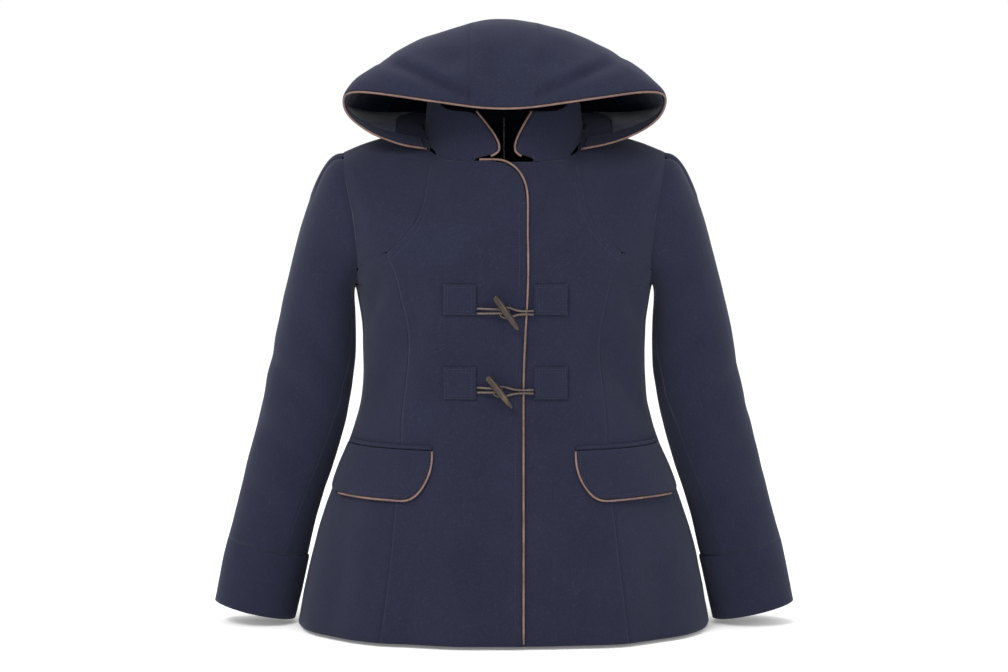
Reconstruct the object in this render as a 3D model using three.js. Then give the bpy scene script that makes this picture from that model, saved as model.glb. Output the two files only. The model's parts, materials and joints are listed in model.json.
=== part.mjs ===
// A short hooded toggle coat, filled out and hollow, as worn.
// Millimetres. +Z up, the front faces -Y, +X is the wearer's left.
// The origin is the middle of the neck, level with the side neck points.
import * as THREE from 'three';

// ---- driving sizes -------------------------------------------------------
const WOOL = 2.0;            // wall of one layer of coating wool
const DOUBLE = 2.6;          // wall of a doubled piece: collar, cuff, flap
const SATIN = 1.0;           // wall of the hood lining
const SEAM = 0.3;            // gap between two sewn pieces
const PIPE = 1.5;            // radius of the piping
const CORD = 1.5;            // radius of the toggle cord
const UNDER = 3.2;           // how far the lower front lies under the upper one
const COLLAR_HEIGHT = 60;
const COLLAR_LEAN = 0.12;    // inward lean of the stand, mm per mm of height
const STRIP = 41;            // half width of the hood's centre strip
const CUFF_DEPTH = 82;
const PATCH = 40;            // side of a toggle patch
const TOGGLE_LENGTH = 49;
const TOGGLE_RADIUS = 4.6;

// Rings of the body from neck seam to hem. zFront, zSide and zBack are the heights of
// the ring at the middle front, the side and the middle back.
const BODY = {
  columns: ['halfWidth', 'front', 'back', 'zFront', 'zSide', 'zBack', 'squareness', 'plateau'],
  rows: [
    [100, 80, 62, -50, -6, 8, 2.2, 6.0],       // neck seam
    [152, 98, 96, -84, -23, -22, 2.2, 3.2],    // middle of the shoulder
    [203, 115, 116, -128, -45, -88, 2.5, 1.6], // shoulder tip
    [205, 125, 124, -168, -120, -150, 2.5, 1], // middle of the armhole
    [185, 127, 124, -205, -205, -205, 2.4, 1], // underarm
    [178, 122, 116, -258, -258, -258, 2.3, 1],
    [176, 117, 109, -315, -315, -315, 2.3, 1], // waist
    [182, 120, 112, -362, -362, -362, 2.3, 1],
    [194, 129, 119, -402, -402, -402, 2.3, 1],
    [216, 142, 130, -454, -454, -454, 2.3, 1], // hip
    [236, 152, 140, -515, -515, -515, 2.3, 1],
    [260, 165, 153, -631, -631, -631, 2.3, 1], // hem
  ],
};
const HEM = BODY.rows.length - 1;

// Arches of the hood from the face edge over the crown to the nape.
const HOOD = {
  columns: ['topY', 'topZ', 'wideX', 'wideY', 'wideZ', 'squareness', 'sag', 'neckAngle'],
  rows: [
    [-114, 49, 200, -56, 16, 4.0, 35, 64],   // face edge
    [-106, 80, 200, -42, 16, 2.6, 26, 72],   // brow
    [-66, 116, 200, -12, 15, 1.8, 0, 84],
    [8, 126, 197, 28, 14, 1.7, 0, 100],      // crown
    [84, 106, 176, 72, 9, 1.8, 0, 118],
    [132, 56, 138, 104, 2, 2.0, 0, 136],
    [122, 6, 84, 104, -6, 2.2, 0, 150],      // nape
    [70, 12, 47, 66, 9, 2.2, 0, 158],        // neck seam
  ],
};
const NAPE = HOOD.rows.length - 1;
const HOOD_WIDEST = 0.62;    // share of an arch, from the top, at which it is widest
const HOOD_UNDER = 1.7;      // squareness of the arch below its widest point

// Rings of the sleeve from the underarm down. outer and inner are the ring's ends in x.
const SLEEVE = {
  columns: ['z', 'inner', 'outer', 'middleY', 'halfDepth', 'seam'],
  rows: [
    [-240, 185, 280, 4, 61, 160],
    [-300, 185, 292, 6, 57, 152],
    [-360, 196, 304, 8, 53, 138],
    [-420, 213, 320, 10, 50, 128],
    [-480, 233, 334, 12, 47, 121],
    [-538, 247, 350, 13, 44, 116],
    [-618, 265, 368, 14, 42, 112],
  ],
};
const SLEEVE_END = SLEEVE.rows.length;
const CUFF_TOP = SLEEVE_END - 1;
const LEAN = Math.tan(THREE.MathUtils.degToRad(13));

// The armhole is an oval round the side of the body, in ring number and angle.
const ARMHOLE = { top: 1.88, bottom: 4.0, front: 30, back: 27 };
ARMHOLE.middle = (ARMHOLE.top + ARMHOLE.bottom) / 2;
ARMHOLE.half = (ARMHOLE.bottom - ARMHOLE.top) / 2;

// Rings at which the body's panels are cut into facets. Neighbours share them.
const YOKE_JOIN = 3.25;      // the princess seam starts at the yoke seam
const YOKE_END = 3.7;        // the yoke seam runs into the armhole
const SLEEVE_SEAM = 3.88;    // the sleeve's two seams start at the armhole
const LEVELS = [0, 0.45, 0.9, 1.4, ARMHOLE.top, 1.96, 2.12, 2.4, 2.8, YOKE_JOIN, 3.5, YOKE_END,
  SLEEVE_SEAM, 3.96, ARMHOLE.bottom, 4.5, 5, 6, 7, 8, 9, 10, 10.5, HEM];

// Seams of the front, as distance from the middle.
const YOKE_SEAM = { columns: ['level', 'x'],
  rows: [[0, 90], [0.8, 93], [1.5, 97], [2.2, 109], [2.8, 124], [YOKE_JOIN, 142]] };
const PRINCESS_SEAM = { columns: ['z', 'x'],
  rows: [[-160, 142], [-185, 132], [-221, 123], [-260, 116], [-315, 119], [-351, 123], [-393, 124],
    [-461, 131], [-525, 137], [-571, 142], [-631, 150]] };

// ---- small helpers -------------------------------------------------------
const { degToRad, clamp, lerp, smoothstep } = THREE.MathUtils;
const V = (x, y, z) => new THREE.Vector3(x, y, z);

// A row between the rows of a table, with smooth change from row to row.
function rowAt(table, place) {
  const last = table.rows.length - 1;
  const i = clamp(Math.floor(place), 0, last - 1);
  const f = place - i;
  const [a, b, c, d] = [i - 1, i, i + 1, i + 2].map((k) => table.rows[clamp(k, 0, last)]);
  const row = {};
  table.columns.forEach((column, k) => {
    const inSlope = (c[k] - a[k]) / 2;
    const outSlope = (d[k] - b[k]) / 2;
    const gap = c[k] - b[k];
    row[column] = b[k] + f * (inSlope + f * (3 * gap - 2 * inSlope - outSlope
      + f * (inSlope + outSlope - 2 * gap)));
  });
  return row;
}

// Straight lines between the points of a two column table.
function along(table, value) {
  const rows = table.rows;
  const rising = rows[1][0] > rows[0][0];
  let i = 0;
  while (i < rows.length - 2 && (rising ? value > rows[i + 1][0] : value < rows[i + 1][0])) i += 1;
  const share = clamp((value - rows[i][0]) / (rows[i + 1][0] - rows[i][0]), 0, 1);
  return lerp(rows[i][1], rows[i + 1][1], share);
}

// The value between low and high at which a rising function reaches zero.
function solve(rise, low, high) {
  let [a, b] = [low, high];
  for (let k = 0; k < 40; k += 1) {
    const middle = (a + b) / 2;
    if (rise(middle) < 0) a = middle;
    else b = middle;
  }
  return (a + b) / 2;
}

// A surface is a function of two numbers. This adds the outward normal.
function withNormal(surface, outward) {
  return (a, b) => {
    const [da, db] = [0.01, 0.01];
    const alongA = surface(a + da, b).sub(surface(a - da, b));
    const alongB = surface(a, b + db).sub(surface(a, b - db));
    return { point: surface(a, b), normal: alongA.cross(alongB).normalize().multiplyScalar(outward) };
  };
}

// ---- body surface --------------------------------------------------------
// angle 0 is the middle front, 90 the side and 180 the middle back; below 0 is past the middle.
function bodyPoint(side, angle, level) {
  const ring = rowAt(BODY, level);
  const a = degToRad(angle);
  const power = 2 / ring.squareness;
  const [s, c] = [Math.sin(a), Math.cos(a)];
  const isFront = c > 0;
  const x = ring.halfWidth * Math.abs(s) ** power * Math.sign(s);
  const y = (isFront ? -ring.front : ring.back) * Math.abs(c) ** power;
  const drop = (isFront ? ring.zFront : ring.zBack) - ring.zSide;
  const z = ring.zSide + drop * (1 - Math.abs(s) ** (2 * ring.plateau));
  return V(side * x, y, z);
}
const bodySkin = (side) => withNormal((angle, level) => bodyPoint(side, angle, level), -side);
// The same skin with straight lines from level to level, for what lies on a panel.
const facetSkin = (side) => {
  const skin = bodySkin(side);
  return (angle, level) => {
    const next = Math.max(1, LEVELS.findIndex((l) => l >= level - 1e-9));
    const [low, high] = [LEVELS[next - 1], LEVELS[next]];
    const share = (level - low) / (high - low);
    const [a, b] = [skin(angle, low), skin(angle, high)];
    return { point: a.point.lerp(b.point, share), normal: a.normal.lerp(b.normal, share).normalize() };
  };
};

// The angle at which the body is x wide, on the front.
const angleAt = (level, x) => Math.sign(x) * solve((angle) => bodyPoint(1, angle, level).x - Math.abs(x), 0, 89.9);
const levelAt = (z) => solve((level) => z - bodyPoint(1, 45, level).z, 3.8, HEM);

const onPrincess = (level) => solve((angle) => {
  const p = bodyPoint(1, angle, level);
  return p.x - along(PRINCESS_SEAM, p.z);
}, 5, 85);

const armholeAngle = (level, reach) => {
  const share = clamp((level - ARMHOLE.middle) / ARMHOLE.half, -1, 1);
  return reach * Math.sqrt(1 - share * share);
};
function frontSide(level) {
  const inHole = level > ARMHOLE.top && level < ARMHOLE.bottom;
  return inHole ? 90 - armholeAngle(level, ARMHOLE.front) : 90;
}
function backSide(level) {
  const inHole = level > ARMHOLE.top && level < ARMHOLE.bottom;
  return inHole ? 90 + armholeAngle(level, ARMHOLE.back) : 90;
}
function onYoke(level) {
  if (level <= YOKE_JOIN) return angleAt(level, along(YOKE_SEAM, level));
  const share = (level - YOKE_JOIN) / (YOKE_END - YOKE_JOIN);
  return lerp(angleAt(YOKE_JOIN, along(YOKE_SEAM, YOKE_JOIN)), frontSide(YOKE_END), share);
}

// The outer edge of a front: the yoke seam, then the princess seam.
const frontOuter = (level) => (level <= YOKE_JOIN ? onYoke(level) : onPrincess(level));

// The upper front's edge: a rounded corner at the neck, then a line a little past the middle.
const EDGE = { neck: -6, top: 27, hem: 21.5, cornerDepth: 46 };
function edgeX(z) {
  const down = clamp((BODY.rows[0][3] - z) / EDGE.cornerDepth, 0, 1);
  const straight = lerp(EDGE.top, EDGE.hem, smoothstep(-z, 180, 320));
  return lerp(EDGE.neck, straight, Math.sqrt(1 - (1 - down) ** 2));
}
const UNDERLAP = 26;         // the lower front reaches this far past the middle
function underShift(x) {
  return -UNDER * (1 - smoothstep(x, EDGE.top + 8, EDGE.top + 50));
}

// ---- sleeve surface ------------------------------------------------------
// turn 0 is the top and outside, 90 the front, 180 the underarm and inside.
// reach 0 is the armhole, 1 the ring at the underarm, then one ring a step.
function armholePoint(side, turn) {
  const r = degToRad(turn);
  const level = ARMHOLE.middle - ARMHOLE.half * Math.cos(r);
  const width = Math.sin(r) > 0 ? ARMHOLE.front : ARMHOLE.back;
  return bodyPoint(side, 90 - width * Math.sin(r), level);
}
function sleeveRing(side, turn, place) {
  const ring = rowAt(SLEEVE, place);
  const r = degToRad(turn);
  const half = (ring.outer - ring.inner) / 2;
  const x = half * Math.cos(r);
  return V(side * ((ring.outer + ring.inner) / 2 + x), ring.middleY - ring.halfDepth * Math.sin(r), ring.z + x * LEAN);
}
function sleevePoint(side, turn, reach) {
  if (reach >= 1) return sleeveRing(side, turn, reach - 1);
  const r = degToRad(turn);
  const top = (1 + Math.cos(r)) / 2;
  const start = armholePoint(side, turn);
  const end = sleeveRing(side, turn, 0);
  const leave = V(side * lerp(7, 31, top), -7 * Math.sin(r), lerp(-4, 12, top));
  const arrive = lerp(22, 118, top);
  const before = end.clone().add(V(-side * arrive * LEAN * top + side * 2 * (1 - top), 0, arrive));
  const curve = new THREE.CubicBezierCurve3(start, start.clone().add(leave), before, end);
  return curve.getPoint(Math.max(reach, -0.02));
}
const sleeveSkin = (side) => withNormal((turn, reach) => sleevePoint(side, turn, reach), side);
const turnOfLevel = (level) => THREE.MathUtils.radToDeg(Math.acos((ARMHOLE.middle - level) / ARMHOLE.half));
const seamTurn = (reach) => (reach < 1 ? lerp(turnOfLevel(SLEEVE_SEAM), SLEEVE.rows[0][5], reach)
  : rowAt(SLEEVE, reach - 1).seam);

// ---- collar surface ------------------------------------------------------
function neckOut(side, angle) {
  const before = bodyPoint(side, angle - 0.5, 0);
  const after = bodyPoint(side, angle + 0.5, 0);
  return V(side * (after.y - before.y), side * (before.x - after.x), 0).normalize();
}
function collarPoint(side, angle, height) {
  const base = bodyPoint(side, angle, 0);
  return base.addScaledVector(neckOut(side, angle), -COLLAR_LEAN * height).add(V(0, 0, height));
}
const collarSkin = (side) => withNormal((angle, height) => collarPoint(side, angle, height), side);
const COLLAR_END = { columns: ['height', 'share'],
  rows: [[0, 1], [3.5, 0.85], [5.5, 0.55], [8, 0.25], [11, 0.07], [15, 0], [22, 0.06], [32, 0.24], [46, 0.6], [60, 1]] };
const COLLAR_BASE = 1.6;     // the stand starts this far above the neck seam
const COLLAR_START = 38;     // the collar seam stops this far from the middle
function collarEnd(height, nearest) {
  return angleAt(0, lerp(nearest, COLLAR_START, along(COLLAR_END, height)));
}

// ---- hood surface --------------------------------------------------------
// across 0 is the middle and 1 the neck seam; back 0 is the face edge.
function hoodPoint(side, across, back) {
  const arch = rowAt(HOOD, back);
  const seat = bodyPoint(1, arch.neckAngle, 0).addScaledVector(neckOut(1, arch.neckAngle), 1.3);
  seat.z += 1.4;
  let point;
  if (across < HOOD_WIDEST) {
    const r = (across / HOOD_WIDEST) * (Math.PI / 2);
    const power = 2 / arch.squareness;
    const x = arch.wideX * Math.abs(Math.sin(r)) ** power * Math.sign(r);
    const rise = (arch.topZ - arch.wideZ) * Math.abs(Math.cos(r)) ** power;
    const sag = arch.sag * (1 - Math.abs(x / arch.wideX) ** 1.6);
    point = V(x, lerp(arch.wideY, arch.topY, Math.cos(r)), arch.wideZ + rise - sag);
  } else {
    const r = ((across - HOOD_WIDEST) / (1 - HOOD_WIDEST)) * (Math.PI / 2);
    const power = 2 / HOOD_UNDER;
    point = V(lerp(seat.x, arch.wideX, Math.abs(Math.cos(r)) ** power),
      lerp(seat.y, arch.wideY, Math.cos(r)), lerp(arch.wideZ, seat.z, Math.abs(Math.sin(r)) ** power));
  }
  point.x *= side;
  return point;
}
const stripAcross = (back, x) => solve((across) => hoodPoint(1, across, back).x - x, 0, HOOD_WIDEST);

// ---- walls ---------------------------------------------------------------
// A closed wall between an outer and an inner grid of points.
function wallGeometry(outer, inner, isRing) {
  const [rows, columns] = [outer.length, outer[0].length];
  const points = [...outer.flat(), ...inner.flat()];
  const at = (layer, r, c) => layer * rows * columns + r * columns + (c % columns);
  const index = [];
  const quad = (a, b, c, d) => index.push(a, b, c, a, c, d);
  const lastColumn = isRing ? columns : columns - 1;
  for (let r = 0; r < rows - 1; r += 1) {
    for (let c = 0; c < lastColumn; c += 1) {
      quad(at(0, r, c), at(0, r, c + 1), at(0, r + 1, c + 1), at(0, r + 1, c));
      quad(at(1, r, c), at(1, r + 1, c), at(1, r + 1, c + 1), at(1, r, c + 1));
    }
  }
  for (let c = 0; c < lastColumn; c += 1) {
    quad(at(0, 0, c), at(1, 0, c), at(1, 0, c + 1), at(0, 0, c + 1));
    quad(at(0, rows - 1, c), at(0, rows - 1, c + 1), at(1, rows - 1, c + 1), at(1, rows - 1, c));
  }
  if (!isRing) {
    for (let r = 0; r < rows - 1; r += 1) {
      quad(at(0, r, 0), at(0, r + 1, 0), at(1, r + 1, 0), at(1, r, 0));
      quad(at(0, r, columns - 1), at(1, r, columns - 1), at(1, r + 1, columns - 1), at(0, r + 1, columns - 1));
    }
  }
  let volume = 0;
  for (let k = 0; k < index.length; k += 3) {
    volume += points[index[k]].dot(points[index[k + 1]].clone().cross(points[index[k + 2]]));
  }
  if (volume < 0) index.reverse();
  const geometry = new THREE.BufferGeometry();
  geometry.setAttribute('position', new THREE.Float32BufferAttribute(points.flatMap((p) => p.toArray()), 3));
  geometry.setIndex(index);
  geometry.computeVertexNormals();
  return geometry;
}

// Moves the grid's outermost points in by half the seam gap.
function pullIn(grid, gap) {
  const step = (from, to) => {
    const way = to.clone().sub(from);
    return way.setLength(Math.min(gap, way.length() * 0.3));
  };
  const [rows, columns] = [grid.length, grid[0].length];
  const moved = grid.map((row) => row.map((p) => p.clone()));
  for (let r = 0; r < rows; r += 1) {
    moved[r][0].add(step(grid[r][0], grid[r][1]));
    moved[r][columns - 1].add(step(grid[r][columns - 1], grid[r][columns - 2]));
  }
  for (let c = 0; c < columns; c += 1) {
    moved[0][c].add(step(grid[0][c], grid[1][c]));
    moved[rows - 1][c].add(step(grid[rows - 1][c], grid[rows - 2][c]));
  }
  return moved;
}

// A panel: points of a skin at rows b, and in each row at columns from left(b) to right(b).
function panel({ skin, rows, left, right, columns, raise = () => 0, thick = WOOL, topTip = 0, endTip = 0 }) {
  const places = Array.isArray(columns) ? columns : Array.from({ length: columns + 1 }, (_, c) => c / columns);
  const outer = [];
  const inner = [];
  rows.forEach((b) => {
    const cells = places.map((share) => skin(lerp(left(b), right(b), share), b));
    outer.push(cells.map(({ point, normal }) => point.clone().addScaledVector(normal, raise(point))));
    inner.push(cells.map(({ point, normal }) => point.clone().addScaledVector(normal, raise(point) - thick)));
  });
  [outer, inner].forEach((grid) => {
    const last = grid.length - 1;
    grid[0].forEach((p, c) => p.lerp(grid[1][c], topTip));
    grid[last].forEach((p, c) => p.lerp(grid[last - 1][c], endTip));
  });
  return wallGeometry(pullIn(outer, SEAM * 0.6), pullIn(inner, SEAM * 0.6), false);
}

// A tube along points, closed at both ends, with a section turned from point to point.
function tube(points, radius, sides = 6) {
  const rings = [];
  let across = V(0.31, 0.52, 0.79);
  points.forEach((point, k) => {
    const before = points[Math.max(k - 1, 0)];
    const after = points[Math.min(k + 1, points.length - 1)];
    const run = after.clone().sub(before).normalize();
    across = across.clone().addScaledVector(run, -across.dot(run)).normalize();
    const third = run.clone().cross(across);
    rings.push(Array.from({ length: sides }, (_, j) => {
      const r = (j / sides) * 2 * Math.PI;
      return point.clone().addScaledVector(across, radius * Math.cos(r)).addScaledVector(third, radius * Math.sin(r));
    }));
  });
  const positions = rings.flat();
  const index = [];
  for (let k = 0; k < rings.length - 1; k += 1) {
    for (let j = 0; j < sides; j += 1) {
      const [a, b] = [k * sides + j, k * sides + ((j + 1) % sides)];
      index.push(a, b, b + sides, a, b + sides, a + sides);
    }
  }
  const last = (rings.length - 1) * sides;
  for (let j = 1; j < sides - 1; j += 1) {
    index.push(0, j + 1, j, last, last + j, last + j + 1);
  }
  const geometry = new THREE.BufferGeometry();
  geometry.setAttribute('position', new THREE.Float32BufferAttribute(positions.flatMap((p) => p.toArray()), 3));
  geometry.setIndex(index);
  geometry.computeVertexNormals();
  return geometry;
}

// ---- materials -----------------------------------------------------------
const wool = () => new THREE.MeshStandardMaterial({ color: 0x262c4a, roughness: 0.95, metalness: 0 });
const satin = () => new THREE.MeshStandardMaterial({ color: 0x161c38, roughness: 0.35, metalness: 0 });
const piping = () => new THREE.MeshStandardMaterial({ color: 0x8a6a62, roughness: 0.55, metalness: 0 });
const cordLeather = () => new THREE.MeshStandardMaterial({ color: 0x5a4238, roughness: 0.6, metalness: 0 });
const horn = () => new THREE.MeshStandardMaterial({ color: 0x4a3526, roughness: 0.3, metalness: 0 });

const coat = new THREE.Group();
function add(name, geometry, material) {
  const mesh = new THREE.Mesh(geometry, material);
  mesh.name = name;
  coat.add(mesh);
  return mesh;
}
const sideName = (side) => (side < 0 ? 'right' : 'left');
const between = (low, high) => LEVELS.filter((level) => level >= low && level <= high);

// ---- body panels ---------------------------------------------------------
function upperFront() {
  add('front_right', panel({ skin: bodySkin(-1), rows: LEVELS, columns: 5,
    left: (level) => angleAt(level, -edgeX(bodyPoint(1, 8, level).z)),
    right: frontOuter }), wool());
}
function lowerFront() {
  add('front_left', panel({ skin: bodySkin(1), rows: LEVELS, columns: [0, 0.2, 0.42, 0.55, 0.7, 0.85, 1],
    left: (level) => angleAt(level, -UNDERLAP),
    right: frontOuter,
    raise: (p) => underShift(p.x) }), wool());
}
function yoke(side) {
  add(`front_yoke_${sideName(side)}`, panel({ skin: bodySkin(side), rows: between(0, YOKE_END), columns: 4,
    left: onYoke, right: frontSide, endTip: 0.08 }), wool());
}
function frontSidePanel(side) {
  add(`front_side_${sideName(side)}`, panel({ skin: bodySkin(side), rows: between(YOKE_JOIN, HEM), columns: 4,
    left: frontOuter, right: (level) => (level <= YOKE_END ? onYoke(level) : frontSide(level)),
    topTip: 0.1 }), wool());
}
function backPanel(side) {
  add(`back_${sideName(side)}`, panel({ skin: bodySkin(side), rows: LEVELS, columns: 5,
    left: backSide, right: () => 180 }), wool());
}

// ---- sleeves -------------------------------------------------------------
const HEAD_REACH = [0, 0.13, 0.32, 0.6, 1];
const SLEEVE_REACH = [...HEAD_REACH, 2, 3, 4, 5, CUFF_TOP];
function sleevePanel(name, side, starts, ends) {
  const skin = sleeveSkin(side);
  const share = (turn) => (turn - starts[0]) / (starts[starts.length - 1] - starts[0]);
  const free = (reach) => clamp(reach / 1.2, 0, 1);
  const grid = (depth) => SLEEVE_REACH.map((reach) => {
    const [low, high] = ends(reach);
    return starts.map((turn, k) => {
      const even = lerp(low, high, lerp(share(turn), k / (starts.length - 1), free(reach)));
      const { point, normal } = skin(even, reach);
      return point.addScaledVector(normal, -depth);
    });
  });
  add(name, wallGeometry(pullIn(grid(0), SEAM), pullIn(grid(WOOL), SEAM), false), wool());
}
function sleeve(side) {
  const seamed = between(ARMHOLE.top, SLEEVE_SEAM).map(turnOfLevel);
  const upper = [...seamed.slice(1).reverse().map((turn) => -turn), ...seamed];
  const low = between(SLEEVE_SEAM, ARMHOLE.bottom).map(turnOfLevel);
  const under = [...low, ...low.slice(0, -1).reverse().map((turn) => 360 - turn)];
  sleevePanel(`sleeve_upper_${sideName(side)}`, side, upper, (reach) => [-seamTurn(reach), seamTurn(reach)]);
  sleevePanel(`sleeve_under_${sideName(side)}`, side, under, (reach) => [seamTurn(reach), 360 - seamTurn(reach)]);
}
function cuff(side) {
  const skin = sleeveSkin(side);
  const turns = Array.from({ length: 18 }, (_, k) => k * 20);
  const top = CUFF_TOP + 0.006;
  const places = [top, top + 0.03, lerp(top, SLEEVE_END, 0.5), SLEEVE_END];
  const proud = [0.2, 1, 1, 0.9];
  const grid = (depth) => places.map((reach, k) => turns.map((turn) => {
    const { point, normal } = skin(turn, reach);
    return point.addScaledVector(normal, proud[k] - depth);
  }));
  add(`cuff_${sideName(side)}`, wallGeometry(grid(0), grid(DOUBLE), true), wool());
}

// ---- collar and hood -----------------------------------------------------
const NEAREST = { right: 7, left: 15 };
function collar(side) {
  const heights = COLLAR_END.rows.map((row) => row[0]);
  heights[0] = COLLAR_BASE;
  add(`collar_${sideName(side)}`, panel({ skin: collarSkin(side), rows: heights, columns: 9,
    left: (height) => collarEnd(height, NEAREST[sideName(side)]), right: () => 180,
    thick: DOUBLE }), wool());
}
const HOOD_ROWS = [0, 0.5, 1, 1.7, 2.4, 3.2, 4, 4.8, 5.5, 6.2, NAPE];
const SIDE_COLUMNS = 9;
const STRIP_COLUMNS = 4;
// Skin of the whole hood: across below 0 is the wearer's right.
const wholeHood = (across, back) => (across < 0 ? hoodPoint(-1, -across, back) : hoodPoint(1, across, back));
const wholeHoodSkin = withNormal(wholeHood, 1);
function hoodSide(side) {
  const strip = (back) => side * stripAcross(back, STRIP);
  const [left, right] = side < 0 ? [() => -1, strip] : [strip, () => 1];
  add(`hood_side_${sideName(side)}`, panel({ skin: wholeHoodSkin, rows: HOOD_ROWS, columns: SIDE_COLUMNS,
    left, right, endTip: 0.1 }), wool());
}
function hoodStrip() {
  add('hood_strip', panel({ skin: wholeHoodSkin, rows: HOOD_ROWS, columns: STRIP_COLUMNS,
    left: (back) => -stripAcross(back, STRIP), right: (back) => stripAcross(back, STRIP) }), wool());
}
// The facets across one row of the whole hood, from the wearer's right to the left.
function hoodRow(back, end) {
  const edge = stripAcross(back, STRIP);
  const sides = Array.from({ length: SIDE_COLUMNS }, (_, k) => lerp(edge, 1, (k + 1) / SIDE_COLUMNS));
  if (end) sides[SIDE_COLUMNS - 1] = end;
  else sides.pop();
  const strip = Array.from({ length: STRIP_COLUMNS + 1 }, (_, k) => lerp(-edge, edge, k / STRIP_COLUMNS));
  return [...sides.slice().reverse().map((across) => -across), ...strip, ...sides];
}
const FACING_END = 1.0;
const INSIDE_END = 0.975;
function hoodLayer(name, rows, end, thick, material) {
  const grid = (depth) => rows.map((back) => hoodRow(back, end).map((across) => {
    const { point, normal } = wholeHoodSkin(across, back);
    return point.addScaledVector(normal, -WOOL - LAYER_GAP - depth);
  }));
  add(name, wallGeometry(pullIn(grid(0), SEAM), pullIn(grid(thick), SEAM), false), material);
}
const LAYER_GAP = 0.45;
const LINING_END = 4.8;
function hoodFacing() {
  hoodLayer('hood_facing', HOOD_ROWS.filter((back) => back <= FACING_END), INSIDE_END, 1.5, wool());
}
function hoodLining() {
  hoodLayer('hood_lining', HOOD_ROWS.filter((back) => back >= FACING_END && back <= LINING_END), 0, SATIN, satin());
}

// ---- piping --------------------------------------------------------------
function hoodPiping() {
  const points = hoodRow(0, 0.985).map((across) => {
    const { point, normal } = wholeHoodSkin(across, 0);
    const forward = point.clone().sub(wholeHood(across, HOOD_ROWS[1])).normalize();
    return point.addScaledVector(normal, -1.9).addScaledVector(forward, PIPE + 0.25);
  });
  add('piping_hood', tube(points, PIPE), piping());
}
function collarPiping(side) {
  const heights = [7.5, 9, 11.5, 14, 18, 22, 27, 32, 39, 46, 53, 59];
  const skin = collarSkin(side);
  const points = heights.map((height) => {
    const angle = collarEnd(height, NEAREST[sideName(side)]);
    const { point, normal } = skin(angle, height);
    const inside = skin(angle + 0.5, height).point.clone();
    const along1 = skin(collarEnd(height + 0.4, NEAREST[sideName(side)]), height + 0.4).point
      .sub(skin(collarEnd(height - 0.4, NEAREST[sideName(side)]), height - 0.4).point);
    const away = along1.cross(normal).normalize();
    if (away.dot(point.clone().sub(inside)) < 0) away.negate();
    return point.addScaledVector(normal, -DOUBLE / 2).addScaledVector(away, PIPE + 0.5);
  });
  add(`piping_collar_${sideName(side)}`, tube(points, PIPE), piping());
}
function frontPiping() {
  const skin = facetSkin(-1);
  const points = [];
  [-30, -24, -17, -10].forEach((x) => {
    const { point, normal } = skin(angleAt(0, -x), 0);
    points.push(point.addScaledVector(normal, -WOOL / 2).add(V(0, 0, PIPE + 0.5)));
  });
  const levels = [0.02, 0.1, 0.22, 0.36, 0.55, 0.75, 1, 1.4, 1.8, 2.2, 2.8, 3.4, 4, 4.5, 5, 5.5, 6, 6.5, 7, 7.5, 8,
    8.5, 9, 9.5, 10, 10.5, HEM - 0.03];
  levels.forEach((level) => {
    const edge = (l) => angleAt(l, -edgeX(bodyPoint(1, 8, l).z));
    const { point, normal } = skin(edge(level), level);
    const run = skin(edge(level + 0.01), level + 0.01).point.sub(skin(edge(level - 0.01), level - 0.01).point);
    const away = run.cross(normal).normalize();
    if (away.x < 0) away.negate();
    points.push(point.addScaledVector(normal, -WOOL / 2).addScaledVector(away, PIPE + 0.5));
  });
  add('piping_front', tube(points, PIPE), piping());
}

// ---- pocket flaps --------------------------------------------------------
const FLAP = { columns: ['z', 'inner', 'outer'],
  rows: [[-400, 23.9, 79.5], [-415, 22.9, 80], [-430, 23.4, 80], [-442, 24.6, 79.5], [-450, 26, 78.5],
    [-455, 27.6, 77], [-458, 30, 74]] };
const flapInner = { rows: FLAP.rows.map(([z, inner]) => [z, inner]) };
const flapOuter = { rows: FLAP.rows.map(([z, , outer]) => [z, outer]) };
const zSkin = (side) => {
  const skin = facetSkin(side);
  return (angle, down) => skin(angle, levelAt(-down));
};
function flapRaise(p) {
  return lerp(DOUBLE + 0.4, DOUBLE + 1.6, clamp((-400 - p.z) / 50, 0, 1));
}
function flap(side) {
  add(`flap_${sideName(side)}`, panel({ skin: zSkin(side), rows: FLAP.rows.map(([z]) => -z), columns: 7,
    left: (down) => along(flapInner, -down), right: (down) => along(flapOuter, -down), raise: flapRaise,
    thick: DOUBLE }), wool());
}
function flapWelt(side) {
  add(`flap_welt_${sideName(side)}`, panel({ skin: zSkin(side), rows: [393.6, 399], columns: 7,
    left: () => 23.6, right: () => 79.8, raise: () => 2.1, thick: 1.6 }), wool());
}
function flapPiping(side) {
  const skin = zSkin(side);
  const points = [];
  const push = (angle, z, dx, dz) => {
    const { point, normal } = skin(angle, -z);
    const raise = flapRaise(point) - DOUBLE / 2;
    points.push(point.addScaledVector(normal, raise).add(V(side * dx, 0, dz)));
  };
  const out = PIPE + 0.15;
  FLAP.rows.forEach(([z, inner], k) => {
    const share = clamp(k / (FLAP.rows.length - 1), 0, 1) ** 2;
    push(inner, z - 0.8, -out * (1 - share), -out * share);
  });
  for (let angle = 36; angle <= 68; angle += 4) push(angle, -458.2, 0, -out);
  add(`piping_flap_${sideName(side)}`, tube(points, PIPE), piping());
}

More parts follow.
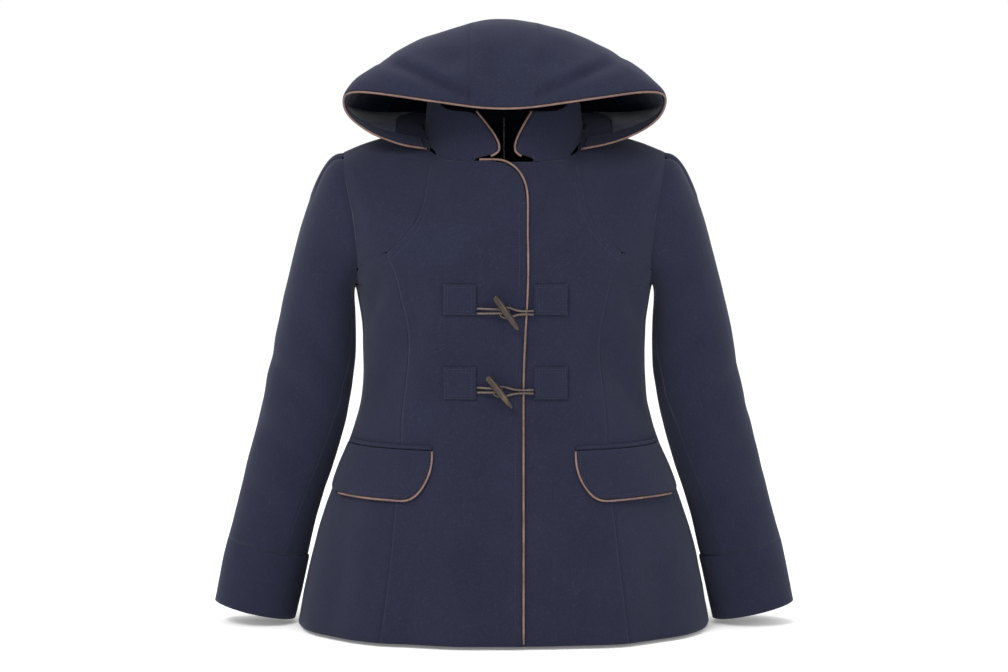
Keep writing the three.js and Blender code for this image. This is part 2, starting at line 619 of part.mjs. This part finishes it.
// ---- toggles, cords and patches ------------------------------------------
const CLOSURES = [
  { name: 'top', z: -232, patchTop: -196, toggleX: 3, tilt: 35 },
  { name: 'bottom', z: -328, patchTop: -299, toggleX: -5, tilt: 38 },
];
const PATCH_START = { right: 33, left: 36 };
function patch(closure, side) {
  const skin = zSkin(side);
  const start = PATCH_START[sideName(side)];
  const rows = [0, 0.5, 1].map((share) => -closure.patchTop + share * PATCH);
  add(`patch_${closure.name}_${sideName(side)}`, panel({ skin, rows, columns: 3,
    left: (down) => angleAt(levelAt(-down), start), right: (down) => angleAt(levelAt(-down), start + PATCH),
    raise: (p) => (side > 0 ? underShift(p.x) + 0.7 : 0) + 1.9, thick: 1.5 }), wool());
}
const frontY = (x, z) => zSkin(1)(angleAt(levelAt(z), Math.max(x, 4)), -z).point.y;
const CORD_LIFT = { loop: 2.6, shank: 6.2, toggle: 12.8 };
// From the patch to the toggle, half the distance between the two strands at each share.
const LOOP = [[0, 2.2], [0.12, 2.0], [0.25, 1.8], [0.38, 2.0], [0.5, 2.6], [0.64, 4.6], [0.78, 6.4], [0.92, 5.8], [1, 3.2]];
function loopCord({ name, z, toggleX }) {
  const strand = LOOP.map(([share, half]) => [lerp(PATCH_START.left - 0.5, toggleX - 7, share), half]);
  const back = strand.slice().reverse().map(([x, half]) => [x, -half]);
  const points = [...strand, [toggleX - 8.5, 0], ...back]
    .map(([x, half]) => V(x, frontY(x, z) - CORD_LIFT.loop, z + half));
  add(`cord_loop_${name}`, tube(points, CORD), cordLeather());
}
function shankCord({ name, z, toggleX }) {
  const [start, end] = [-PATCH_START.right + 0.5, toggleX + 1.5];
  const strand = Array.from({ length: 7 }, (_, k) => [lerp(start, end, k / 6), lerp(3, 2, k / 6)]);
  const back = strand.slice().reverse().map(([x, half]) => [x, -half]);
  const lift = (x) => lerp(2.2, CORD_LIFT.shank, smoothstep(x, start, start + 16));
  const points = [...strand, [end + 1.6, 0], ...back]
    .map(([x, half]) => V(x, frontY(Math.abs(x), z) - lift(x), z + 2 + half));
  add(`cord_toggle_${name}`, tube(points, CORD), cordLeather());
}
function toggle(closure) {
  const profile = [[0, 0], [3.4, 0], [4.2, 1.5], [TOGGLE_RADIUS, 14], [TOGGLE_RADIUS, 24], [4.0, 36], [2.8, 45],
    [1.4, TOGGLE_LENGTH - 0.6], [0, TOGGLE_LENGTH]];
  const geometry = new THREE.LatheGeometry(profile.map(([r, s]) => new THREE.Vector2(r, s - TOGGLE_LENGTH / 2)), 10);
  const mesh = add(`toggle_${closure.name}`, geometry, horn());
  mesh.rotation.set(0, degToRad(180 - closure.tilt), 0, 'XYZ');
  mesh.geometry.rotateX(Math.PI / 2);
  mesh.position.set(closure.toggleX, frontY(5, closure.z) - CORD_LIFT.toggle, closure.z);
}

// ---- the coat ------------------------------------------------------------
upperFront();
lowerFront();
for (const side of [-1, 1]) {
  yoke(side);
  frontSidePanel(side);
  backPanel(side);
  sleeve(side);
  cuff(side);
  collar(side);
  collarPiping(side);
  hoodSide(side);
  flap(side);
  flapWelt(side);
  flapPiping(side);
}
hoodStrip();
hoodFacing();
hoodLining();
hoodPiping();
frontPiping();
for (const closure of CLOSURES) {
  patch(closure, -1);
  patch(closure, 1);
  loopCord(closure);
  shankCord(closure);
  toggle(closure);
}

export default coat;
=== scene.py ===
import json
import math
import bmesh
import bpy
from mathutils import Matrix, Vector, noise
from mathutils.bvhtree import BVHTree
from mathutils.kdtree import KDTree


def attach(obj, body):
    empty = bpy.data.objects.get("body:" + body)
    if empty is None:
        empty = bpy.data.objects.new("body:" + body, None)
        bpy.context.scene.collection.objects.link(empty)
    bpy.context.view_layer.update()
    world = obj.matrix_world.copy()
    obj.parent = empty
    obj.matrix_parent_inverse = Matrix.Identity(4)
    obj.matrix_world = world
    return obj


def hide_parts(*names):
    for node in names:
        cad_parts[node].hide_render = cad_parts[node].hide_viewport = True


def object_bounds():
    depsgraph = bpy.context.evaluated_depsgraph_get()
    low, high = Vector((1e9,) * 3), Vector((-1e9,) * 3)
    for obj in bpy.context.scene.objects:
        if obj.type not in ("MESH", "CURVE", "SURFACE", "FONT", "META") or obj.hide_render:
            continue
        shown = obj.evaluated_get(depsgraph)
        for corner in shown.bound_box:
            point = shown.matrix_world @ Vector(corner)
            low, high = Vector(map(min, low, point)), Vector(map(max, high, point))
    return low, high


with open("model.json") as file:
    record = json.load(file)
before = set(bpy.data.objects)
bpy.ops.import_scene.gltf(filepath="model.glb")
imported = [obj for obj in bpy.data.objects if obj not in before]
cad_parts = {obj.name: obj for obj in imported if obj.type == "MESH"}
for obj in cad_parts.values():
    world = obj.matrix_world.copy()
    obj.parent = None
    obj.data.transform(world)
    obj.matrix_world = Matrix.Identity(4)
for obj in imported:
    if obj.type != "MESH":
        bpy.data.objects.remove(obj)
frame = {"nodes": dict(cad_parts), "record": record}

MM = 0.001
cad_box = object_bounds()
nodes = frame["nodes"]


def clamp(value):
    return max(0.0, min(1.0, value))


# ---- folds ------------------------------------------------------------------------
# Soft troughs (depth above 0) and ridges (below 0), in mm. Each runs from a to b in the named view:
# "front" and "back" use x and z, and "out" uses y and z, on both sleeves.
FOLDS = [
    # view, where, a, b, half width, depth
    ("front", "body", (88, -50), (34, -138), 13, 4.5),
    ("front", "body", (108, -62), (62, -150), 12, -2.5),
    ("front", "body", (-84, -52), (2, -92), 13, 3.0),
    ("front", "body", (-70, -84), (-12, -128), 14, -1.8),
    ("front", "body", (-108, -246), (-160, -350), 17, 3.5),
    ("front", "body", (-90, -285), (-118, -372), 15, -2.0),
    ("front", "body", (112, -262), (168, -356), 17, 3.5),
    ("front", "body", (92, -300), (124, -378), 14, -2.2),
    ("front", "body", (-150, -196), (-176, -262), 12, 2.6),
    ("front", "body", (150, -200), (174, -258), 12, 2.4),
    ("front", "body", (-196, -470), (-214, -640), 22, 4.0),
    ("front", "body", (-104, -480), (-116, -640), 26, 3.0),
    ("front", "body", (-52, -500), (-58, -640), 20, -2.4),
    ("front", "body", (74, -490), (84, -640), 26, 3.4),
    ("front", "body", (176, -470), (200, -640), 24, 3.6),
    ("front", "body", (128, -500), (140, -640), 18, -2.4),
    ("back", "body", (-60, -60), (-140, -160), 18, 3.5),
    ("back", "body", (66, -66), (136, -170), 18, 3.0),
    ("back", "body", (-70, -300), (-168, -340), 16, 3.8),
    ("back", "body", (78, -292), (168, -348), 16, 3.4),
    ("back", "body", (-40, -330), (-150, -384), 15, 2.6),
    ("back", "body", (44, -324), (140, -374), 15, 2.8),
    ("back", "body", (-70, -440), (-90, -640), 28, 4.2),
    ("back", "body", (60, -450), (84, -640), 26, 3.8),
    ("back", "body", (-170, -460), (-196, -640), 24, 3.4),
    ("back", "body", (160, -470), (190, -640), 24, 3.8),
    ("front", "sleeve", (-248, -250), (-196, -330), 12, 3.0),
    ("front", "sleeve", (-290, -300), (-222, -372), 13, 3.2),
    ("front", "sleeve", (-316, -372), (-250, -428), 12, 2.6),
    ("front", "sleeve", (-330, -440), (-276, -500), 14, 2.0),
    ("front", "sleeve", (244, -244), (198, -322), 12, 3.0),
    ("front", "sleeve", (296, -310), (226, -380), 13, 3.4),
    ("front", "sleeve", (312, -390), (256, -440), 12, 2.4),
    ("front", "sleeve", (338, -452), (284, -506), 14, 2.0),
    ("back", "sleeve", (-236, -240), (-204, -320), 14, 3.4),
    ("back", "sleeve", (-288, -290), (-214, -340), 14, 3.6),
    ("back", "sleeve", (-300, -340), (-236, -400), 12, 3.0),
    ("back", "sleeve", (240, -250), (206, -330), 14, 3.4),
    ("back", "sleeve", (292, -300), (220, -350), 14, 3.2),
    ("back", "sleeve", (304, -356), (246, -410), 12, 3.0),
    ("out", "sleeve", (-17, -30), (-31, -92), 4.2, 3.0),
    ("out", "sleeve", (-6, -26), (-10, -98), 4.2, 3.4),
    ("out", "sleeve", (6, -26), (12, -90), 4.2, 3.0),
    ("out", "sleeve", (17, -30), (30, -96), 4.2, 2.8),
    ("out", "sleeve", (-11, -30), (-20, -90), 3.6, -1.6),
    ("out", "sleeve", (1, -28), (2, -94), 3.6, -1.6),
    ("out", "sleeve", (12, -30), (21, -92), 3.6, -1.6),
    ("front", "hood", (-150, 72), (-94, 52), 8, 5.0),
    ("front", "hood", (-94, 52), (-44, 26), 7, 5.5),
    ("front", "hood", (-104, 66), (-70, 48), 8, -4.0),
    ("front", "hood", (142, 72), (96, 54), 8, 4.6),
    ("front", "hood", (96, 54), (44, 28), 7, 5.0),
    ("front", "hood", (104, 66), (72, 50), 8, -3.6),
    ("front", "hood", (-66, 62), (-56, 84), 15, 3.6),
    ("front", "hood", (-18, 42), (-14, 74), 14, 3.0),
    ("front", "hood", (44, 52), (58, 86), 16, 3.4),
    ("back", "hood", (-110, 70), (-40, 20), 16, 5.0),
    ("back", "hood", (104, 76), (46, 24), 16, 4.6),
    ("back", "hood", (-60, 100), (-30, 50), 14, 3.0),
    ("back", "hood", (-150, 40), (-90, 0), 14, 4.4),
    ("back", "hood", (148, 44), (92, 2), 14, 4.0),
]
FOLD_GAIN = 1.35             # all depths are multiplied by this
FOLD_REACH = 3               # a fold ends this many half widths away from its line
FOLD_END = 0.55              # share of the depth left at a fold's two ends
UNEVEN = {"body": 1.3, "sleeve": 1.2, "hood": 2.2}    # slow unevenness, in mm
SLOW_NOISE = 0.014           # waves to a mm
QUICK_NOISE = 0.04
QUICK_SHARE = 0.45
QUICK_START = Vector((7, 3, 5))
SIDE_SHARE = 0.4             # how much of a front or back fold is left at the coat's side
SIDE_FADE = 25               # mm of depth over which it comes in fully


def place_in_view(p, view):
    """How fully a point of the coat faces a view, and its place in that view."""
    x, y, z = p
    if view == "front":
        return clamp(SIDE_SHARE - y / SIDE_FADE), x, z
    if view == "back":
        return clamp(SIDE_SHARE + y / SIDE_FADE), x, z
    return 1.0, y, z


def fold_depth(u, v, a, b, width, depth):
    """How deep one fold is at a place of its view."""
    du = b[0] - a[0]
    dv = b[1] - a[1]
    along = clamp(((u - a[0]) * du + (v - a[1]) * dv) / (du * du + dv * dv))
    away = math.hypot(u - a[0] - along * du, v - a[1] - along * dv)
    if away >= FOLD_REACH * width:
        return 0.0
    strength = FOLD_END + (1 - FOLD_END) * math.sin(math.pi * along)
    return depth * strength * math.exp(-((away / width) ** 2))


def shift_of(p, where):
    """How far a point moves outwards, in mm."""
    total = UNEVEN[where] * noise.noise(Vector(p) * SLOW_NOISE)
    total += QUICK_SHARE * UNEVEN[where] * noise.noise(Vector(p) * QUICK_NOISE + QUICK_START)
    for view, place, a, b, width, depth in FOLDS:
        if place != where:
            continue
        share, u, v = place_in_view(p, view)
        if share > 0:
            total -= FOLD_GAIN * share * fold_depth(u, v, a, b, width, depth)
    return total


# The middles of the three hollows, in mm. "flat" is how many times wider than deep a hollow is taken to be,
# and above "turn_z" the way out turns upwards by "turn".
BODY = {"flat": 1.9, "turn_z": -90, "turn": 0.35}
SLEEVE = {"x": 232, "y": 8, "turn_z": -110, "turn": 0.6}
SLEEVE_LEAN = {"from_z": -240, "slope": 0.224, "farthest_x": 320}
HOOD = {"flat": 1.7, "y": 20, "z": 10}


def outward(p, where):
    """The way out of the hollow at a point, in mm space."""
    x, y, z = p
    if where == "body":
        rise = BODY["turn"] * max(0.0, z - BODY["turn_z"])
        return Vector((x / BODY["flat"], y, rise)).normalized()
    if where == "sleeve":
        side = 1 if x > 0 else -1
        middle = SLEEVE["x"] + max(0.0, SLEEVE_LEAN["from_z"] - z) * SLEEVE_LEAN["slope"]
        rise = SLEEVE["turn"] * max(0.0, z - SLEEVE["turn_z"])
        return Vector((x - side * min(middle, SLEEVE_LEAN["farthest_x"]), y - SLEEVE["y"], rise)).normalized()
    return Vector((x / HOOD["flat"], y - HOOD["y"], z - HOOD["z"])).normalized()


def settle(p, where):
    """A point of the coat after its folds, in metres in and out."""
    at = tuple(c / MM for c in p)
    return Vector(p) + outward(at, where) * (shift_of(at, where) * MM)


# ---- materials --------------------------------------------------------------------
def new_material(name):
    """A material with its node tree and its shader."""
    material = bpy.data.materials.new(name)
    material.use_nodes = True
    tree = material.node_tree
    return material, tree, tree.nodes["Principled BSDF"]


def noise_node(tree, scale, detail, rough=0.6, stretch=None):
    """Noise in the piece's own space: scale is in waves to a metre, stretch in x, y and z."""
    coords = tree.nodes.new("ShaderNodeTexCoord")
    texture = tree.nodes.new("ShaderNodeTexNoise")
    texture.inputs["Scale"].default_value = scale
    texture.inputs["Detail"].default_value = detail
    texture.inputs["Roughness"].default_value = rough
    source = coords.outputs["Object"]
    if stretch:
        mapping = tree.nodes.new("ShaderNodeMapping")
        mapping.inputs["Scale"].default_value = stretch
        tree.links.new(source, mapping.inputs["Vector"])
        source = mapping.outputs["Vector"]
    tree.links.new(source, texture.inputs["Vector"])
    return texture.outputs["Fac"]


def ramp(tree, source, stops):
    """A colour for each height of the noise: stops are a place from 0 to 1 and a colour."""
    node = tree.nodes.new("ShaderNodeValToRGB")
    while len(node.color_ramp.elements) < len(stops):
        node.color_ramp.elements.new(0.5)
    for element, (place, colour) in zip(node.color_ramp.elements, stops):
        element.position = place
        element.color = (*colour, 1)
    tree.links.new(source, node.inputs["Fac"])
    return node.outputs["Color"]


def mix(tree, a, b, share):
    """Two colours as one, with this share of the second."""
    node = tree.nodes.new("ShaderNodeMix")
    node.data_type = "RGBA"
    node.inputs["Factor"].default_value = share
    tree.links.new(a, node.inputs["A"])
    tree.links.new(b, node.inputs["B"])
    return node.outputs["Result"]


def bump(tree, shader, heights):
    """Stacks bumps: each is a height, a distance in metres and a strength."""
    last = None
    for height, distance, strength in heights:
        node = tree.nodes.new("ShaderNodeBump")
        node.inputs["Distance"].default_value = distance
        node.inputs["Strength"].default_value = strength
        tree.links.new(height, node.inputs["Height"])
        if last:
            tree.links.new(last, node.inputs["Normal"])
        last = node.outputs["Normal"]
    tree.links.new(last, shader.inputs["Normal"])


def wool():
    """Navy coating wool: fine fibres, paler flecks and slow clouds, with a faint nap."""
    material, tree, shader = new_material("navy_wool")
    fibre = noise_node(tree, scale=900, detail=3)
    fleck = noise_node(tree, scale=330, detail=2, rough=0.7)
    cloud = noise_node(tree, scale=14, detail=3)
    weave = noise_node(tree, scale=520, detail=2, rough=0.5, stretch=(1.0, 1.0, 0.45))
    base = ramp(tree, fibre, [(0.3, (0.0062, 0.0072, 0.0175)), (0.7, (0.0185, 0.0205, 0.041))])
    flecks = ramp(tree, fleck, [(0.55, (0.011, 0.0125, 0.027)), (0.72, (0.033, 0.036, 0.062))])
    clouds = ramp(tree, cloud, [(0.3, (0.0085, 0.0095, 0.022)), (0.7, (0.0145, 0.016, 0.034))])
    flecked = mix(tree, base, flecks, share=0.35)
    tree.links.new(mix(tree, flecked, clouds, share=0.35), shader.inputs["Base Color"])
    shader.inputs["Roughness"].default_value = 0.95
    shader.inputs["Specular IOR Level"].default_value = 0.12
    shader.inputs["Sheen Weight"].default_value = 0.16
    shader.inputs["Sheen Roughness"].default_value = 0.55
    shader.inputs["Sheen Tint"].default_value = (0.4, 0.42, 0.52, 1)
    bump(tree, shader, [(cloud, 0.0012, 0.35), (weave, 0.0004, 0.6), (fibre, 0.0002, 0.6)])
    return material


def satin():
    """Navy satin lining with soft creases, its colour darker in the crease hollows and paler on their crests:
    painted shade and painted sheen.
    """
    material, tree, shader = new_material("navy_satin")
    crease = noise_node(tree, scale=26, detail=3, rough=0.55, stretch=(1.0, 0.6, 2.2))
    yarn = noise_node(tree, scale=1400, detail=1)
    # painted shade and painted sheen: the colour follows the crease height, dark in the hollows and pale on
    # the crests
    colour = ramp(tree, crease, [(0.3, (0.008, 0.011, 0.03)), (0.75, (0.03, 0.042, 0.085))])
    tree.links.new(colour, shader.inputs["Base Color"])
    shader.inputs["Roughness"].default_value = 0.3
    shader.inputs["Sheen Weight"].default_value = 0.2
    bump(tree, shader, [(crease, 0.006, 0.7), (yarn, 0.0001, 0.3)])
    return material


def leather(name, dark, light, roughness):
    """Leather with a fine grain and slow wear, between a dark and a light colour."""
    material, tree, shader = new_material(name)
    grain = noise_node(tree, scale=420, detail=4)
    wear = noise_node(tree, scale=60, detail=3)
    grained = ramp(tree, grain, [(0.3, dark), (0.7, light)])
    worn = ramp(tree, wear, [(0.35, dark), (0.65, light)])
    tree.links.new(mix(tree, grained, worn, share=0.5), shader.inputs["Base Color"])
    shader.inputs["Roughness"].default_value = roughness
    bump(tree, shader, [(grain, 0.0003, 0.7)])
    return material


def horn():
    """Dark horn with long brown streaks and a thin polish."""
    material, tree, shader = new_material("toggle_horn")
    streak = noise_node(tree, scale=70, detail=4, rough=0.6, stretch=(1.0, 1.0, 0.3))
    fine = noise_node(tree, scale=500, detail=2)
    colour = ramp(tree, streak, [(0.3, (0.010, 0.0065, 0.0045)), (0.55, (0.030, 0.019, 0.013)),
                                 (0.75, (0.085, 0.055, 0.038))])
    tree.links.new(colour, shader.inputs["Base Color"])
    shader.inputs["Roughness"].default_value = 0.26
    shader.inputs["Specular IOR Level"].default_value = 0.3
    shader.inputs["Coat Weight"].default_value = 0.12
    bump(tree, shader, [(streak, 0.0006, 0.4), (fine, 0.0001, 0.3)])
    return material


def thread():
    """Navy sewing thread."""
    material, tree, shader = new_material("stitch_thread")
    twist = noise_node(tree, scale=1200, detail=2)
    colour = ramp(tree, twist, [(0.3, (0.006, 0.007, 0.018)), (0.7, (0.02, 0.023, 0.05))])
    tree.links.new(colour, shader.inputs["Base Color"])
    shader.inputs["Roughness"].default_value = 0.7
    bump(tree, shader, [(twist, 0.0001, 0.5)])
    return material


FINISH = {
    "coating_wool": wool(),
    "lining_satin": satin(),
    "piping": leather("piping_leather", dark=(0.075, 0.042, 0.033), light=(0.2, 0.12, 0.098), roughness=0.5),
    "cord": leather("cord_leather", dark=(0.035, 0.023, 0.018), light=(0.11, 0.075, 0.06), roughness=0.45),
    "toggle_horn": horn(),
}
THREAD = thread()
SLOT_OF = {part["node"]: part["material_slot"] for part in frame["record"]["subparts"]}


# ---- pieces -----------------------------------------------------------------------
WELD = 2e-6                                       # corners nearer than this are one, in metres
FLAT_FACES = math.radians(35)                     # two triangles bent less than this make one square
SQUARE_SHAPE = math.radians(60)
SHARP = {"cloth": math.radians(50), "trim": math.radians(75)}   # edges bent more than this stay sharp
LEVELS = {"large": 3, "small": 2}                 # rounds of subdivision
TRIM_SWELL = 0.12 * MM                            # trim is made this much thicker all round


def where_of(name):
    """The part of the coat whose folds a piece shares."""
    if name.startswith(("sleeve", "cuff")):
        return "sleeve"
    if "hood" in name:
        return "hood"
    return "body"


def fine_mesh(name, levels, crease_above):
    """The CAD node's own form, made smooth: facets joined to squares, edges kept, then subdivided."""
    mesh = bpy.data.meshes.new(name + "_cloth")
    form = bmesh.new()
    form.from_mesh(nodes[name].data)
    bmesh.ops.remove_doubles(form, verts=form.verts, dist=WELD)
    bmesh.ops.join_triangles(form, faces=form.faces, angle_face_threshold=FLAT_FACES,
                             angle_shape_threshold=SQUARE_SHAPE)
    crease = form.edges.layers.float.new("crease_edge")
    for edge in form.edges:
        if len(edge.link_faces) == 2 and edge.calc_face_angle(0) > crease_above:
            edge[crease] = 1.0
    form.to_mesh(mesh)
    form.free()
    piece = bpy.data.objects.new(name + "_cloth", mesh)
    bpy.context.scene.collection.objects.link(piece)
    subdivide = piece.modifiers.new("fine", "SUBSURF")
    subdivide.levels = levels
    subdivide.render_levels = levels
    fine = bpy.data.meshes.new_from_object(piece.evaluated_get(bpy.context.evaluated_depsgraph_get()))
    piece.modifiers.clear()
    piece.data = fine
    for face in fine.polygons:
        face.use_smooth = True
    return piece


def finish_piece(piece, name):
    """Gives a piece its material, hangs it on the root and hides the CAD part it replaces."""
    piece.data.materials.clear()
    piece.data.materials.append(FINISH[SLOT_OF[name]])
    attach(piece, "root")
    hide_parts(name)


COLLAR_DROP = 3.2 * MM       # the stand's lower edge goes down into the neck seam
DROP_FADE = 20 * MM          # height above the seam over which that ends
COLLAR_OPENING = 36 * MM     # half width in front where the collar's ends stay as they are
COLLAR_MEET = 2.5 * MM       # points nearer than this to the centre back cross over it a little
COLLAR_CROSS = -0.2
NECK_FRONT_Z = -50 * MM      # the neck seam's height in front
NECK_RISE = 56 * MM          # how much higher it is behind
NECK_RISE_FROM = -30 * MM    # the y where it starts to rise
NECK_RISE_RUN = 40 * MM      # the depth in which it rises


def seat_collar(p):
    """A point of the collar, moved so that its foot sits in the neck seam and its halves meet behind."""
    p = p.copy()
    if p.y > 0 and abs(p.x) < COLLAR_MEET:
        p.x *= COLLAR_CROSS
    seam = NECK_FRONT_Z + NECK_RISE * clamp((p.y - NECK_RISE_FROM) / NECK_RISE_RUN)
    if abs(p.x) > COLLAR_OPENING or p.y > 0:
        p.z -= COLLAR_DROP * (1 - clamp((p.z - seam) / DROP_FADE))
    return p


SEWN_REACH = 2.4 * MM        # seam edges nearer than this are drawn together
SEWN_SHARE = 0.46            # each by this share of the way
LAID_ON = ("flap", "patch", "hood_facing", "hood_lining")


def close_seams(pieces):
    """Draws the edges of neighbouring panels together, so that each seam is a fine groove."""
    sewn = {name: piece for name, piece in pieces.items() if not name.startswith(LAID_ON)}
    tree = KDTree(sum(len(piece.data.vertices) for piece in sewn.values()))
    owners = []
    for name, piece in sewn.items():
        for vertex in piece.data.vertices:
            tree.insert(vertex.co, len(owners))
            owners.append(name)
    tree.balance()
    for name, piece in sewn.items():
        for vertex in piece.data.vertices:
            near = None
            for place, index, far in tree.find_range(vertex.co, SEWN_REACH):
                if owners[index] != name and (near is None or far < near[0]):
                    near = (far, place)
            if near:
                vertex.co = vertex.co.lerp(near[1], SEWN_SHARE)


def cloth_piece(name):
    """A panel, collar, hood part, flap or patch, with its folds."""
    size = "small" if name.startswith(("flap", "patch")) else "large"
    piece = fine_mesh(name, LEVELS[size], SHARP["cloth"])
    for vertex in piece.data.vertices:
        if name.startswith("collar"):
            vertex.co = seat_collar(vertex.co)
        vertex.co = settle(vertex.co, where_of(name))
    finish_piece(piece, name)
    return piece


def trim_piece(name):
    """Piping, a cord or a toggle, moved with the folds of the cloth under it."""
    piece = fine_mesh(name, LEVELS["small"], SHARP["trim"])
    for vertex in piece.data.vertices:
        vertex.co = vertex.co + vertex.normal * TRIM_SWELL
        vertex.co = settle(vertex.co, where_of(name))
    finish_piece(piece, name)


cloth = {}
for node in sorted(nodes):
    if SLOT_OF[node] in ("coating_wool", "lining_satin"):
        cloth[node] = cloth_piece(node)
    else:
        trim_piece(node)
close_seams(cloth)


# ---- stitches ---------------------------------------------------------------------
# Sizes in mm. A stitch's section is five corners of a flat round, given as angles. It narrows at its ends.
STITCH = {"long": 2.6, "pitch": 3.6, "wide": 0.55, "proud": 0.22}
STITCH_SECTION = (0, math.pi / 3, 2 * math.pi / 3, math.pi, 4.5)
STITCH_RINGS = ((-0.5, 0.4), (0.0, 1.0), (0.5, 0.4))     # share of the length, share of the size
LOOK_AHEAD = 0.5             # the row's direction is taken to a point this far on
RAY_START = -1               # in metres: rays start this far in front of the coat

PATCH_EDGES = (-73.5, 36.5)  # left edges of the toggle patches, then their tops
PATCH_TOPS = (-196, -299)
PATCH_SIDE = 40
PATCH_ROWS = (2.2, 5.6)      # how far in from the patch's edge each row runs

# Rows as x, z places: one beside the front edge, then three that are on both sides of the coat.
FRONT_ROW = ((18.5, -98), (18.5, -190), (14.5, -320), (13.2, -625))
YOKE_ROW = ((84, -52), (87, -80), (91, -106), (103, -132), (118, -152), (136, -168), (160, -184))
WELT_ROW = ((90, -396.5), (130, -396.5), (165, -396.5), (184, -396.5))
FLAP_ROW = ((92.5, -404), (92.5, -420), (97, -436), (106, -450), (118, -453.5), (150, -453.5), (186, -452))


def surface_of(names):
    """One surface of several cloth pieces, for rays to hit."""
    points, faces = [], []
    for name in names:
        data = cloth[name].data
        start = len(points)
        points += [vertex.co.copy() for vertex in data.vertices]
        faces += [[start + i for i in face.vertices] for face in data.polygons]
    return BVHTree.FromPolygons(points, faces)


FRONTS = surface_of([name for name in cloth if name.startswith(("front", "flap", "patch"))])


def on_front(x, z):
    """The place on the fronts at x, z and the way out of the cloth there, or None twice."""
    hit, normal, _, _ = FRONTS.ray_cast(Vector((x * MM, RAY_START, z * MM)), Vector((0, 1, 0)))
    return (hit, normal) if hit else (None, None)


def between(a, b, share):
    return a[0] + (b[0] - a[0]) * share, a[1] + (b[1] - a[1]) * share


def stitch(form, middle, run, normal):
    """One raised thread, lying along run."""
    across = normal.cross(run).normalized()
    rings = []
    for end, size in STITCH_RINGS:
        centre = middle + run * (end * STITCH["long"] * MM)
        rings.append([form.verts.new(centre + across * (math.cos(turn) * STITCH["wide"] / 2 * size * MM)
                                     + normal * (math.sin(turn) * STITCH["proud"] * size * MM))
                      for turn in STITCH_SECTION])
    corners = len(STITCH_SECTION)
    for a, b in zip(rings, rings[1:]):
        for i in range(corners):
            after = (i + 1) % corners
            form.faces.new((a[i], a[after], b[after], b[i]))
    form.faces.new(rings[0][::-1])
    form.faces.new(rings[-1])


def stitch_row(form, path):
    """Stitches along a line of x, z places on the front."""
    spare = 0.0
    for start, end in zip(path, path[1:]):
        length = math.hypot(end[0] - start[0], end[1] - start[1])
        along = spare
        while along < length:
            share = along / length
            hit, normal = on_front(*between(start, end, share))
            ahead, _ = on_front(*between(start, end, share + LOOK_AHEAD / length))
            along += STITCH["pitch"]
            if hit is not None and ahead is not None:
                stitch(form, hit, (ahead - hit).normalized(), normal)
        spare = along - length


def square(x, z, side, inset):
    """A closed square row inside a patch whose top left corner is at x, z."""
    x0, x1 = x + inset, x + side - inset
    z0, z1 = z - inset, z - side + inset
    return [(x0, z0), (x1, z0), (x1, z1), (x0, z1), (x0, z0)]


def topstitching():
    """All the rows that show, as one piece."""
    form = bmesh.new()
    for top in PATCH_TOPS:
        for edge in PATCH_EDGES:
            for inset in PATCH_ROWS:
                stitch_row(form, square(edge, top, PATCH_SIDE, inset))
    stitch_row(form, FRONT_ROW)
    for side in (-1, 1):
        for row in (YOKE_ROW, WELT_ROW, FLAP_ROW):
            stitch_row(form, [(side * x, z) for x, z in row])
    mesh = bpy.data.meshes.new("topstitching")
    form.to_mesh(mesh)
    form.free()
    piece = bpy.data.objects.new("topstitching", mesh)
    bpy.context.scene.collection.objects.link(piece)
    mesh.materials.append(THREAD)
    for face in mesh.polygons:
        face.use_smooth = True
    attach(piece, "root")


topstitching()


# ---- floor, light and camera ------------------------------------------------------
FLOOR_DROP = 4 * MM          # gap between the hem and the floor
FLOOR_SIZE = 30              # metres
FLOOR_GLOW = 0.16            # a little light of its own keeps the floor as pale as the world behind it
WORLD_STRENGTH = 1.0
LIGHT_AIM = Vector((0, 0, -0.25))
LIGHTS = (
    # name, place, size in m, power in W
    ("key", (-1.6, -2.4, 2.3), 1.1, 78),
    ("fill", (2.0, -2.6, 0.9), 1.4, 24),
    ("top", (0.0, 0.4, 2.4), 1.6, 26),
)
CAMERA_PLACE = Vector((0, -3.0, -0.03))
CAMERA_AIM = Vector((0, 0, -0.27))
CAMERA_LENS = 85.7           # mm
CAMERA_REACH = 100           # metres


def studio():
    bpy.ops.mesh.primitive_plane_add(size=FLOOR_SIZE, location=(0, 0, cad_box[0][2] - FLOOR_DROP))
    floor = bpy.context.object
    floor.name = "floor"
    white, _, shader = new_material("pale_floor")
    shader.inputs["Base Color"].default_value = (0.9, 0.9, 0.9, 1)
    shader.inputs["Roughness"].default_value = 0.9
    shader.inputs["Emission Color"].default_value = (1, 1, 1, 1)
    shader.inputs["Emission Strength"].default_value = FLOOR_GLOW
    floor.data.materials.append(white)
    world = bpy.data.worlds.new("studio")
    bpy.context.scene.world = world
    world.use_nodes = True
    sky = world.node_tree.nodes["Background"]
    sky.inputs["Color"].default_value = (1, 1, 1, 1)
    sky.inputs["Strength"].default_value = WORLD_STRENGTH


def turned_to(place, aim):
    """The rotation that points a light or camera from its place to its aim."""
    return (aim - Vector(place)).to_track_quat("-Z", "Y").to_euler()


def soft_light(name, place, size, power):
    data = bpy.data.lights.new(name, "AREA")
    data.size = size
    data.energy = power
    light = bpy.data.objects.new(name, data)
    light.location = place
    light.rotation_euler = turned_to(place, LIGHT_AIM)
    bpy.context.scene.collection.objects.link(light)


def camera():
    data = bpy.data.cameras.new("camera")
    data.lens = CAMERA_LENS
    data.clip_end = CAMERA_REACH
    view = bpy.data.objects.new("camera", data)
    view.location = CAMERA_PLACE
    view.rotation_euler = turned_to(CAMERA_PLACE, CAMERA_AIM)
    bpy.context.scene.collection.objects.link(view)
    bpy.context.scene.camera = view


studio()
for name, place, size, power in LIGHTS:
    soft_light(name, place, size, power)
camera()
bpy.context.scene.view_settings.view_transform = "Standard"
